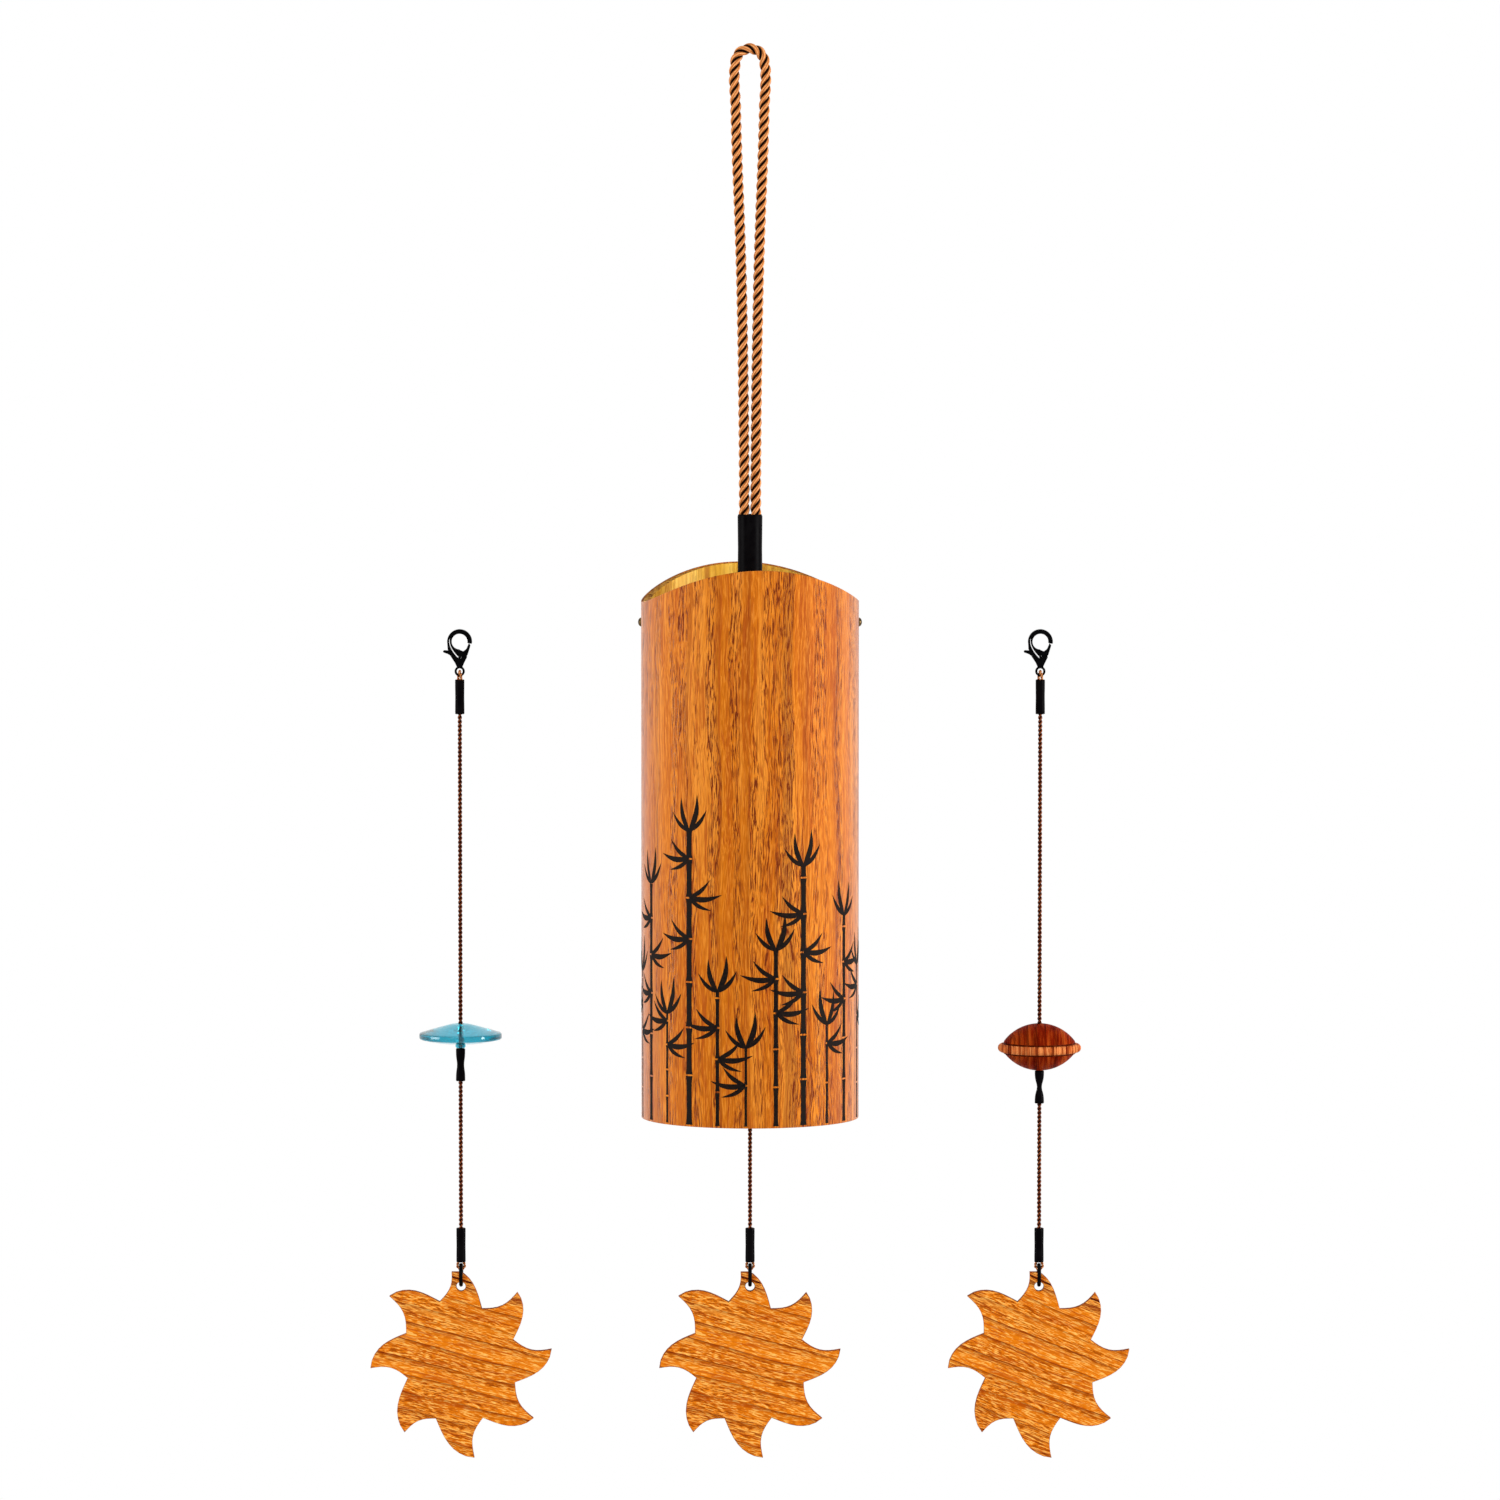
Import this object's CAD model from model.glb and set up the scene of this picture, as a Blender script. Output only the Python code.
"""Looks of a hanging wind chime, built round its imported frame: rope, veneered tube and strands."""
import logging
import math
from collections.abc import Iterator
from contextlib import contextmanager
from dataclasses import dataclass, field
from enum import Enum
from typing import NamedTuple

import bpy
from mathutils import Euler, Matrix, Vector


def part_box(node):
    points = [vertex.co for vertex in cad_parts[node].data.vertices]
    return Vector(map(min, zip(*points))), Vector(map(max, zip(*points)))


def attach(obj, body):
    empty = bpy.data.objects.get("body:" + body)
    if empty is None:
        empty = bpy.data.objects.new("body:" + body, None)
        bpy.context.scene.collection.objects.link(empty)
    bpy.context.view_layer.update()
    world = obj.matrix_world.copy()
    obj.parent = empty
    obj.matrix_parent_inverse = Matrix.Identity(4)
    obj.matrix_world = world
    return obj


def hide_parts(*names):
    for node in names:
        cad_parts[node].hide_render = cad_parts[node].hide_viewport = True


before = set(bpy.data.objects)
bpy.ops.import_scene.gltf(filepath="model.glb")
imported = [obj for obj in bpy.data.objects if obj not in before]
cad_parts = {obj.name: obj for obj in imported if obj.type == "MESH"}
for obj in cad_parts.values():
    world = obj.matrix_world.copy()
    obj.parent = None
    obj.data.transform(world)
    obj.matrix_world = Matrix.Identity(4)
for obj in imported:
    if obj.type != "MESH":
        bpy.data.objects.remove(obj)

log = logging.getLogger("wind_chime")
MM = 0.001
PER_MM = 1000.0
FULL_TURN = 2 * math.pi
Flat = tuple[float, float]
Point = tuple[float, float, float]
Colour = tuple[float, float, float]
Object = bpy.types.Object
Socket = bpy.types.NodeSocket
Number = float | Socket
Place = Point | Socket
Paint = tuple[float, float, float, float] | Socket
ALONG_X: Point = (1.0, 0.0, 0.0)
ALONG_Y: Point = (0.0, 1.0, 0.0)
ALONG_Z: Point = (0.0, 0.0, 1.0)


class SocketKind(str, Enum):
    """Kinds of socket on a shader group."""

    COLOUR = "NodeSocketColor"
    VALUE = "NodeSocketFloat"
    VECTOR = "NodeSocketVector"


class DiscShape(Enum):
    """The two forms of striker disc."""

    LENS = "lens"
    TURNED = "turned"


# Shader graphs
class Graph:
    """Places shader nodes in one tree and joins them."""

    def __init__(self, tree: bpy.types.NodeTree) -> None:
        """Keeps the tree that the nodes go into."""
        self.tree = tree

    @classmethod
    def fresh(cls, owner: bpy.types.Material | bpy.types.World) -> "Graph":
        """Starts the nodes of a material or a world anew.

        Args:
            owner: The material or world.

        Returns:
            The graph of its emptied tree.
        """
        owner.use_nodes = True
        owner.node_tree.nodes.clear()
        return cls(owner.node_tree)

    def add(self, kind: str, inputs: dict[str | int, object] | None = None,
            **settings: object) -> bpy.types.Node:
        """Places one node.

        Args:
            kind: The node's type name.
            inputs: Values or sockets by input name or index.
            settings: Properties of the node itself.

        Returns:
            The new node.
        """
        node = self.tree.nodes.new(kind)
        for name, value in settings.items():
            setattr(node, name, value)
        for key, value in (inputs or {}).items():
            if isinstance(value, Socket):
                self.tree.links.new(value, node.inputs[key])
            else:
                node.inputs[key].default_value = value
        return node

    def join(self, node: bpy.types.Node, sockets: dict[str, Socket]) -> None:
        """Leads sockets to a node's inputs by name."""
        for name, socket in sockets.items():
            self.tree.links.new(socket, node.inputs[name])

    def math(self, operation: str, a: Number, b: Number = 0.0) -> Socket:
        """Returns the result of a Math node."""
        return self.add("ShaderNodeMath", {0: a, 1: b}, operation=operation).outputs[0]

    def times(self, first: Number, *others: Number) -> Number:
        """Multiplies some values.

        Args:
            first: The first value.
            others: The values that it is multiplied by.

        Returns:
            Their product.
        """
        for other in others:
            first = self.math("MULTIPLY", first, other)
        return first

    def vector(self, operation: str, a: Place, b: Place) -> Socket:
        """Returns the result of a Vector Math node."""
        return self.add("ShaderNodeVectorMath", {0: a, 1: b}, operation=operation).outputs[0]

    def spread(self, across: Number, along: Number) -> Socket:
        """Returns a vector of one size for X and Y and another for Z."""
        return self.add("ShaderNodeCombineXYZ", {0: across, 1: across, 2: along}).outputs[0]

    def noise(self, vector: Socket, detail: float, output: str = "Fac") -> Socket:
        """Returns one output of a noise texture with cells of size 1."""
        inputs = {"Vector": vector, "Scale": 1.0, "Detail": detail}
        return self.add("ShaderNodeTexNoise", inputs).outputs[output]

    def fade(self, value: Number, low: float, high: float, to_low: float = 0.0,
             to_high: float = 1.0) -> Socket:
        """Maps a value smoothly from one range to another.

        Args:
            value: The value.
            low: Where it gives to_low.
            high: Where it gives to_high.
            to_low: The result at low and beyond.
            to_high: The result at high and beyond.

        Returns:
            The mapped value.
        """
        inputs = {"Value": value, "From Min": low, "From Max": high,
                  "To Min": to_low, "To Max": to_high}
        return self.add("ShaderNodeMapRange", inputs, interpolation_type="SMOOTHSTEP").outputs[0]

    def mix(self, share: Number, a: Paint, b: Paint) -> Socket:
        """Returns colour a turned into colour b by share."""
        return self.add("ShaderNodeMix", {0: share, 6: a, 7: b}, data_type="RGBA").outputs[2]


def opaque(colour: Colour) -> tuple[float, float, float, float]:
    """Returns a colour with full alpha."""
    return (*colour, 1.0)


def new_group(name: str, inputs: dict[str, SocketKind], outputs: dict[str, SocketKind]
              ) -> tuple[Graph, bpy.types.Node, bpy.types.Node]:
    """Makes an empty shader group.

    Args:
        name: The group's name.
        inputs: Socket kinds by input name.
        outputs: Socket kinds by output name.

    Returns:
        The group's graph, its input node and its output node.
    """
    tree = bpy.data.node_groups.new(name, "ShaderNodeTree")
    for in_out, sockets in (("INPUT", inputs), ("OUTPUT", outputs)):
        for socket, kind in sockets.items():
            tree.interface.new_socket(name=socket, in_out=in_out, socket_type=kind.value)
    graph = Graph(tree)
    return graph, graph.add("NodeGroupInput"), graph.add("NodeGroupOutput")


TONES = ("Dark", "Mid", "Light")
WOOD_VALUES = ("Band", "Band Strength", "Wander", "Ring Spacing", "Ring Strength", "Streaks",
               "Pores", "Sheen", "Fleck", "Fleck Length", "Vein", "Vein Width", "Vein Depth",
               "Beyond Vein")
RESIN = opaque((0.03, 0.003, 0.0))


def wood_group() -> bpy.types.NodeTree:
    """Builds wood whose grain runs along the vector's Z, in millimetres.

    Its figure is bands, ring lines, streaks, pores and a vein.

    Returns:
        The group.
    """
    graph, given, made = new_group("wood_figure", {
        "Vector": SocketKind.VECTOR, **dict.fromkeys(WOOD_VALUES, SocketKind.VALUE),
        **dict.fromkeys(TONES, SocketKind.COLOUR)}, {
        "Color": SocketKind.COLOUR, "Roughness": SocketKind.VALUE, "Height": SocketKind.VALUE})
    at = given.outputs
    # Waves per millimetre, across the grain and along it
    slow, middling, quick = (0.05, 0.05, 0.018), (0.2, 0.2, 0.055), (1.6, 1.6, 0.3)
    middling_reach, quick_reach = 0.3, 0.5
    # Lengths as shares of widths, and widths in millimetres
    band_length, streak_width, streak_length = 24.0, 1.9, 11.0
    faint_size, cluster_size = (7.0, 40.0), (3.6, 150.0)
    shade_depth, core_depth, groove_depth = 0.38, 1.05, 0.4

    def drift(scale: Point, reach: Number) -> Socket:
        """Returns a slow shift of the figure, as a vector.

        Args:
            scale: Waves per millimetre.
            reach: Size of the shift, in millimetres.

        Returns:
            The shift.
        """
        wave = graph.noise(graph.vector("MULTIPLY", at["Vector"], scale), 2.0, "Color")
        centred = graph.vector("SUBTRACT", wave, (0.5, 0.5, 0.5))
        return graph.vector("MULTIPLY", centred, graph.spread(reach, reach))

    def grain(across: Number, along: Number, detail: float) -> Socket:
        """Returns noise of a given width across the grain and length along it."""
        return graph.noise(graph.vector("DIVIDE", moved, graph.spread(across, along)), detail)

    moved = graph.vector("ADD", at["Vector"], drift(slow, at["Wander"]))
    moved = graph.vector("ADD", moved, drift(middling, graph.times(at["Wander"], middling_reach)))
    moved = graph.vector("ADD", moved, drift(quick, graph.times(at["Fleck"], quick_reach)))
    bands = grain(at["Band"], graph.times(at["Band"], band_length), 5.0)
    tone = graph.mix(graph.fade(bands, 0.3, 0.5), at["Dark"], at["Mid"])
    tone = graph.mix(graph.fade(bands, 0.48, 0.68), tone, at["Light"])
    tone = graph.mix(at["Band Strength"], at["Mid"], tone)
    across = graph.add("ShaderNodeSeparateXYZ", {0: moved}).outputs[0]
    aside = graph.math("SUBTRACT", across, at["Vein"])
    gap = graph.math("DIVIDE", graph.math("ABSOLUTE", aside), at["Vein Width"])
    vein = graph.times(graph.fade(gap, 0.55, 0.4), at["Vein Depth"])
    beyond = graph.times(graph.fade(aside, 0.0, 0.4), at["Beyond Vein"])
    ring = graph.math("FRACT", graph.math("DIVIDE", across, at["Ring Spacing"]))
    shade = graph.times(graph.math("POWER", ring, 4.0), shade_depth)
    core = graph.times(graph.math("POWER", ring, 12.0), core_depth)
    late = graph.times(graph.math("ADD", shade, core), graph.fade(ring, 1.0, 0.965))
    faint = graph.fade(grain(*faint_size, 2.0), 0.3, 0.55, 0.45, 1.0)
    line = graph.times(late, at["Ring Strength"], faint)
    length = graph.times(at["Fleck"], at["Fleck Length"])
    fine = grain(graph.times(at["Fleck"], streak_width), graph.times(length, streak_length), 3.0)
    streak = graph.times(graph.fade(fine, 0.5, 0.64), at["Streaks"])
    flecks = grain(at["Fleck"], length, 2.0)
    clusters = graph.fade(grain(*cluster_size, 2.0), 0.42, 0.56, 0.2, 1.0)
    pore = graph.times(graph.fade(flecks, 0.515, 0.575), graph.times(clusters, at["Pores"]))
    sheen = graph.times(graph.fade(flecks, 0.48, 0.38), at["Sheen"])
    deep = graph.mix(0.6, at["Dark"], RESIN)
    for share, colour in ((beyond, at["Dark"]), (sheen, at["Light"]), (streak, at["Dark"]),
                          (vein, graph.mix(0.75, deep, RESIN)), (line, deep), (pore, deep)):
        tone = graph.mix(share, tone, colour)
    sunk = graph.math("ADD", pore, graph.times(graph.math("ADD", streak, line), groove_depth))
    graph.join(made, {"Color": tone, "Roughness": graph.fade(sunk, 0.0, 1.0, 0.42, 0.7),
                      "Height": graph.math("SUBTRACT", 1.0, sunk)})
    return graph.tree


def yarn_group() -> bpy.types.NodeTree:
    """Builds twisted yarn on a strand's UV.

    U runs along the strand in lays, and V goes round it with its outside at a half.

    Returns:
        The group.
    """
    graph, given, made = new_group("twisted_yarn", {
        "UV": SocketKind.VECTOR, "Yarns": SocketKind.VALUE, "Groove": SocketKind.VALUE,
        **dict.fromkeys(TONES, SocketKind.COLOUR)}, {
        "Color": SocketKind.COLOUR, "Height": SocketKind.VALUE})
    at = given.outputs
    yarn_slant, yarn_depth, fibres = 0.7, 0.22, (9.0, 26.0, 1.0)
    parts = graph.add("ShaderNodeSeparateXYZ", {0: at["UV"]}).outputs
    depth = graph.times(graph.math("ABSOLUTE", graph.math("SUBTRACT", parts[1], 0.5)), 2.0)
    turn = graph.math("ADD", parts[1], graph.times(parts[0], yarn_slant))
    wave = graph.math("SINE", graph.times(turn, at["Yarns"], FULL_TURN))
    fibre = graph.noise(graph.vector("MULTIPLY", at["UV"], fibres), 3.0)
    bright = graph.math("ADD", graph.times(wave, yarn_depth), fibre)
    tone = graph.mix(graph.fade(bright, 0.3, 0.85), at["Mid"], at["Light"])
    sunk = graph.math("SUBTRACT", depth, at["Groove"])
    brink = graph.mix(0.5, at["Mid"], at["Dark"])
    tone = graph.mix(graph.fade(sunk, -0.14, 0.05, 0.0, 0.75), tone, brink)
    tone = graph.mix(graph.fade(sunk, -0.03, 0.12), tone, at["Dark"])
    graph.join(made, {"Color": tone, "Height": bright})
    return graph.tree


def scuff_group() -> bpy.types.NodeTree:
    """Builds the fine unevenness of a hard finish.

    Returns:
        The group, with a roughness between two values, a tone mask and a height.
    """
    graph, given, made = new_group("scuffs", {
        "Vector": SocketKind.VECTOR,
        **dict.fromkeys(("Size", "Smooth", "Rough"), SocketKind.VALUE)},
        dict.fromkeys(("Roughness", "Mask", "Height"), SocketKind.VALUE))
    at = given.outputs
    cells = graph.vector("DIVIDE", at["Vector"], graph.spread(at["Size"], at["Size"]))
    coarse = graph.noise(cells, 4.0)
    mask = graph.fade(coarse, 0.35, 0.7)
    span = graph.math("SUBTRACT", at["Rough"], at["Smooth"])
    rough = graph.math("ADD", at["Smooth"], graph.times(mask, span))
    graph.join(made, {"Roughness": rough, "Mask": mask, "Height": coarse})
    return graph.tree


@dataclass(frozen=True)
class Groups:
    """The shader groups that the finishes share, each built once."""

    wood: bpy.types.NodeTree = field(default_factory=wood_group)
    yarn: bpy.types.NodeTree = field(default_factory=yarn_group)
    scuffs: bpy.types.NodeTree = field(default_factory=scuff_group)


# Finishes
@dataclass(frozen=True)
class Finish:
    """What every finish has: a name, constants on the shader's own sockets and a depth of bump."""

    name: str
    constants: tuple[tuple[str, float], ...]
    bump: float

    def start(self) -> tuple[bpy.types.Material, Graph, bpy.types.Node]:
        """Makes the material with its shader.

        Returns:
            The material, its graph and its Principled BSDF.
        """
        material = bpy.data.materials.new(self.name)
        graph = Graph.fresh(material)
        shader = graph.add("ShaderNodeBsdfPrincipled", dict(self.constants))
        graph.add("ShaderNodeOutputMaterial", {"Surface": shader.outputs[0]})
        return material, graph, shader

    def raise_bump(self, graph: Graph, shader: bpy.types.Node, height: Socket) -> None:
        """Feeds a height to the shader's normal at this finish's depth of bump."""
        inputs = {"Height": height, "Distance": self.bump, "Strength": 1.0}
        graph.join(shader, {"Normal": graph.add("ShaderNodeBump", inputs).outputs[0]})


@dataclass(frozen=True, kw_only=True)
class ToneFinish(Finish):
    """A finish of three tones."""

    dark: Colour
    mid: Colour
    light: Colour

    def tones(self) -> dict[str, Paint]:
        """Returns the tones by their names on a shader group."""
        return {tone: opaque(getattr(self, tone.lower())) for tone in TONES}


@dataclass(frozen=True, kw_only=True)
class WoodFinish(ToneFinish):
    """Wood with its figure, sizes in millimetres, and the turn of its grain."""

    band: float
    wander: float
    band_strength: float = 1.0
    ring_spacing: float = 5.0
    ring_strength: float = 0.0
    streaks: float = 0.5
    pores: float = 0.5
    sheen: float = 0.3
    fleck: float = 0.5
    fleck_length: float = 14.0
    vein: float = 0.0
    vein_width: float = 0.001
    vein_depth: float = 0.0
    beyond_vein: float = 0.0
    turn: Point = (0.0, 0.0, 0.0)
    centre: Point = (0.0, 0.0, 0.0)
    stretch: Point = (1.0, 1.0, 1.0)

    def build(self, groups: Groups) -> bpy.types.Material:
        """Builds the material on Object coordinates.

        Args:
            groups: The shared shader groups.

        Returns:
            The material.
        """
        material, graph, shader = self.start()
        centre = Vector([-c * s for c, s in zip(self.centre, self.stretch)])
        turned = graph.add("ShaderNodeMapping", {
            "Vector": graph.add("ShaderNodeTexCoord").outputs["Object"], "Rotation": self.turn,
            "Location": Euler(self.turn).to_matrix() @ centre,
            "Scale": [PER_MM * s for s in self.stretch]}).outputs[0]
        values = {name: getattr(self, name.lower().replace(" ", "_")) for name in WOOD_VALUES}
        figure = graph.add("ShaderNodeGroup", {"Vector": turned, **values, **self.tones()},
                           node_tree=groups.wood).outputs
        graph.join(shader, {"Base Color": figure["Color"], "Roughness": figure["Roughness"]})
        self.raise_bump(graph, shader, figure["Height"])
        return material


@dataclass(frozen=True, kw_only=True)
class YarnFinish(ToneFinish):
    """Twisted yarn that follows the piece's UV map."""

    yarns: float
    groove: float

    def build(self, groups: Groups) -> bpy.types.Material:
        """Builds the material on the UV map.

        Args:
            groups: The shared shader groups.

        Returns:
            The material.
        """
        material, graph, shader = self.start()
        yarn = graph.add("ShaderNodeGroup", {
            "UV": graph.add("ShaderNodeTexCoord").outputs["UV"], "Yarns": self.yarns,
            "Groove": self.groove, **self.tones()}, node_tree=groups.yarn).outputs
        graph.join(shader, {"Base Color": yarn["Color"]})
        self.raise_bump(graph, shader, yarn["Height"])
        return material


@dataclass(frozen=True, kw_only=True)
class HardFinish(Finish):
    """Metal, plating, plastic or ink: a colour that scuffs lighten or darken a little."""

    colour: Colour
    scuffed: Colour
    size: float = 2.0
    smooth: float = 0.3
    rough: float = 0.45

    def build(self, groups: Groups) -> bpy.types.Material:
        """Builds the material on Object coordinates.

        Args:
            groups: The shared shader groups.

        Returns:
            The material.
        """
        material, graph, shader = self.start()
        place = graph.add("ShaderNodeTexCoord").outputs["Object"]
        grown = graph.add("ShaderNodeMapping", {"Vector": place, "Scale": (PER_MM,) * 3}).outputs[0]
        scuff = graph.add("ShaderNodeGroup", {
            "Vector": grown, "Size": self.size, "Smooth": self.smooth, "Rough": self.rough},
            node_tree=groups.scuffs).outputs
        tone = graph.mix(scuff["Mask"], opaque(self.colour), opaque(self.scuffed))
        graph.join(shader, {"Base Color": tone, "Roughness": scuff["Roughness"]})
        self.raise_bump(graph, shader, scuff["Height"])
        return material


@dataclass(frozen=True, kw_only=True)
class AcrylicFinish(HardFinish):
    """Clear plastic whose colour deepens with the way that light takes through it."""

    tint: Colour
    density: float

    def build(self, groups: Groups) -> bpy.types.Material:
        """Builds the hard finish with the plastic's absorption inside.

        Args:
            groups: The shared shader groups.

        Returns:
            The material.
        """
        material = super().build(groups)
        graph = Graph(material.node_tree)
        inside = graph.add("ShaderNodeVolumeAbsorption", {
            "Color": opaque(self.tint), "Density": self.density}).outputs[0]
        output = next(n for n in material.node_tree.nodes if n.type == "OUTPUT_MATERIAL")
        graph.join(output, {"Volume": inside})
        return material


ROPE_SHEEN = (("Roughness", 0.6), ("Specular IOR Level", 0.04))
CORD_SHEEN = (("Roughness", 0.6), ("Specular IOR Level", 0.06))
FLAT_WOOD = (("Specular IOR Level", 0.03),)
SATIN_WOOD = (("Specular IOR Level", 0.14),)
DULL_WOOD = (("Specular IOR Level", 0.005),)
RAKED_WOOD = (("Specular IOR Level", 0.03), ("Sheen Weight", 0.75), ("Sheen Roughness", 0.4))
BLACK_GLOSS = (("Specular IOR Level", 0.012),)
DRY_INK = (("Specular IOR Level", 0.06),)
METAL = (("Metallic", 1.0),)
ACRYLIC = (("Transmission Weight", 0.95), ("IOR", 1.49))
ALONG_DISC = (1.0, 0.08, 1.0)
SUN_MIDDLE_Z = -356.0
SUN_WOOD = {
    "dark": (0.42, 0.04, 0.0), "mid": (0.82, 0.215, 0.005), "light": (1.0, 0.56, 0.13),
    "band": 4.5, "band_strength": 0.3, "wander": 5.0, "ring_spacing": 5.0, "ring_strength": 0.95,
    "streaks": 0.6, "pores": 0.7, "sheen": 0.8, "fleck": 0.26, "fleck_length": 9.0,
    "vein": 1.4, "vein_width": 0.5, "vein_depth": 1.0, "beyond_vein": 0.35}
# Each sun's finish with its place across and the slope of its grain, in degrees
SUN_FINISHES = tuple(
    WoodFinish(name, FLAT_WOOD, 0.015 * MM, turn=(0.0, math.radians(90 - slope), 0.0),
               centre=(across, 0.0, SUN_MIDDLE_Z), **SUN_WOOD)
    for name, across, slope in (("left_sun_wood", -84.0, 14), ("main_sun_wood", 0.0, 14),
                                ("right_sun_wood", 84.0, 21)))
FINISHES = (
    YarnFinish("rope_yarn", ROPE_SHEEN, 0.1 * MM, dark=(0.005, 0.0005, 0.0),
               mid=(0.5, 0.145, 0.03), light=(0.95, 0.45, 0.17), yarns=6.0, groove=0.37),
    YarnFinish("cord_yarn", CORD_SHEEN, 0.04 * MM, dark=(0.008, 0.0005, 0.0),
               mid=(0.09, 0.014, 0.004), light=(0.34, 0.095, 0.027), yarns=3.0, groove=0.42),
    YarnFinish("loop_yarn", CORD_SHEEN, 0.04 * MM, dark=(0.05, 0.007, 0.001),
               mid=(0.4, 0.1, 0.022), light=(0.9, 0.42, 0.15), yarns=3.0, groove=0.5),
    WoodFinish("veneer", RAKED_WOOD, 0.03 * MM, dark=(0.36, 0.048, 0.0), mid=(0.61, 0.157, 0.001),
               light=(0.86, 0.31, 0.035), band=4.5, band_strength=0.5, wander=5.0,
               ring_spacing=8.5, ring_strength=0.4, streaks=0.65, pores=1.0, sheen=0.5,
               fleck=0.25, fleck_length=18.0, vein=10.9, vein_width=3.6, vein_depth=0.32),
    WoodFinish("veneer_edge", DULL_WOOD, 0.04 * MM, dark=(0.12, 0.035, 0.006),
               mid=(0.3, 0.095, 0.015), light=(0.48, 0.18, 0.03), band=2.0, wander=2.0,
               streaks=0.6, pores=0.6),
    WoodFinish("bamboo", SATIN_WOOD, 0.04 * MM, dark=(0.44, 0.16, 0.006), mid=(0.77, 0.4, 0.03),
               light=(0.95, 0.62, 0.11), band=4.0, wander=0.8, streaks=0.4, pores=0.3, fleck=0.4),
    WoodFinish("bamboo_rim", DULL_WOOD, 0.04 * MM, dark=(0.16, 0.05, 0.006),
               mid=(0.42, 0.18, 0.025), light=(0.68, 0.36, 0.06), band=1.5, wander=1.5,
               streaks=0.6, pores=0.6),
    WoodFinish("turned_groove", DULL_WOOD, 0.04 * MM, dark=(0.03, 0.002, 0.0),
               mid=(0.08, 0.008, 0.001), light=(0.14, 0.02, 0.004), band=1.5, wander=0.8),
    WoodFinish("turned_wood", DULL_WOOD, 0.04 * MM, dark=(0.08, 0.002, 0.0),
               mid=(0.22, 0.012, 0.001), light=(0.43, 0.068, 0.007), band=2.3, wander=0.8,
               ring_spacing=2.6, ring_strength=0.8, streaks=0.6, pores=0.4, sheen=0.3,
               fleck=0.32, fleck_length=30.0, stretch=ALONG_DISC),
    WoodFinish("turned_band", DULL_WOOD, 0.04 * MM, dark=(0.16, 0.009, 0.001),
               mid=(0.52, 0.11, 0.022), light=(0.9, 0.33, 0.1), band=1.2, wander=0.8,
               ring_spacing=1.7, ring_strength=0.5, streaks=0.6, pores=0.6, sheen=0.7,
               fleck=0.45, fleck_length=25.0, stretch=ALONG_DISC),
    *SUN_FINISHES,
    WoodFinish("sun_edge", DULL_WOOD, 0.04 * MM, dark=(0.12, 0.02, 0.002),
               mid=(0.28, 0.055, 0.004), light=(0.48, 0.12, 0.016), band=1.6, wander=2.0,
               streaks=0.5, pores=0.4),
    HardFinish("black_sleeve", BLACK_GLOSS, 0.05 * MM, colour=(0.0015, 0.001, 0.0015),
               scuffed=(0.003, 0.0025, 0.003), size=3.0, smooth=0.28, rough=0.42),
    HardFinish("black_metal", BLACK_GLOSS, 0.01 * MM, colour=(0.0012, 0.0012, 0.0015),
               scuffed=(0.003, 0.003, 0.0035), size=1.0, smooth=0.14, rough=0.28),
    HardFinish("spring_steel", METAL, 0.005 * MM, colour=(0.93, 0.93, 0.93),
               scuffed=(0.8, 0.8, 0.8), size=1.0, smooth=0.25, rough=0.4),
    HardFinish("pin_steel", METAL, 0.01 * MM, colour=(0.5, 0.5, 0.5), scuffed=(0.38, 0.37, 0.35)),
    HardFinish("brass", METAL, 0.01 * MM, colour=(0.025, 0.016, 0.007),
               scuffed=(0.2, 0.12, 0.045), size=1.1, smooth=0.25, rough=0.5),
    HardFinish("plate", METAL, 0.02 * MM, colour=(0.62, 0.62, 0.64), scuffed=(0.5, 0.5, 0.52),
               size=1.2, smooth=0.28, rough=0.42),
    HardFinish("rod", METAL, 0.01 * MM, colour=(0.76, 0.76, 0.78), scuffed=(0.66, 0.66, 0.68),
               size=1.5, smooth=0.16, rough=0.3),
    AcrylicFinish("clear_acrylic", ACRYLIC, 0.01 * MM, colour=(0.94, 0.96, 0.96),
                  scuffed=(0.97, 0.98, 0.98), size=6.0, smooth=0.05, rough=0.12,
                  tint=(0.85, 0.93, 0.95), density=40.0),
    AcrylicFinish("blue_acrylic", ACRYLIC, 0.01 * MM, colour=(0.005, 0.49, 0.62),
                  scuffed=(0.02, 0.54, 0.66), size=7.0, smooth=0.06, rough=0.16,
                  tint=(0.12, 0.76, 0.83), density=70.0),
    HardFinish("print_ink", DRY_INK, 0.01 * MM, colour=(0.0025, 0.0015, 0.0015),
               scuffed=(0.014, 0.007, 0.004), size=0.7, smooth=0.55, rough=0.75),
)


# Modelling by operators
class Spot(NamedTuple):
    """A point or a size whose parts have names."""

    x: float
    y: float
    z: float


@dataclass(frozen=True)
class Box:
    """The box of one of the frame's nodes."""

    low: Vector
    high: Vector

    @classmethod
    def of(cls, node: str) -> "Box":
        """Returns the box of a node."""
        return cls(*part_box(node))

    @property
    def mid(self) -> Spot:
        """Returns the box's middle."""
        return Spot(*((a + b) / 2 for a, b in zip(self.low, self.high)))

    @property
    def half(self) -> Spot:
        """Returns half the box's size each way."""
        return Spot(*((b - a) / 2 for a, b in zip(self.low, self.high)))


def deselect() -> None:
    """Leaves edit mode and deselects every object."""
    if bpy.context.object and bpy.context.object.mode != "OBJECT":
        bpy.ops.object.mode_set(mode="OBJECT")
    bpy.ops.object.select_all(action="DESELECT")


def take(piece: Object) -> None:
    """Makes a piece the only selected and active object.

    Args:
        piece: The piece.
    """
    deselect()
    piece.select_set(True)
    bpy.context.view_layer.objects.active = piece


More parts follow.
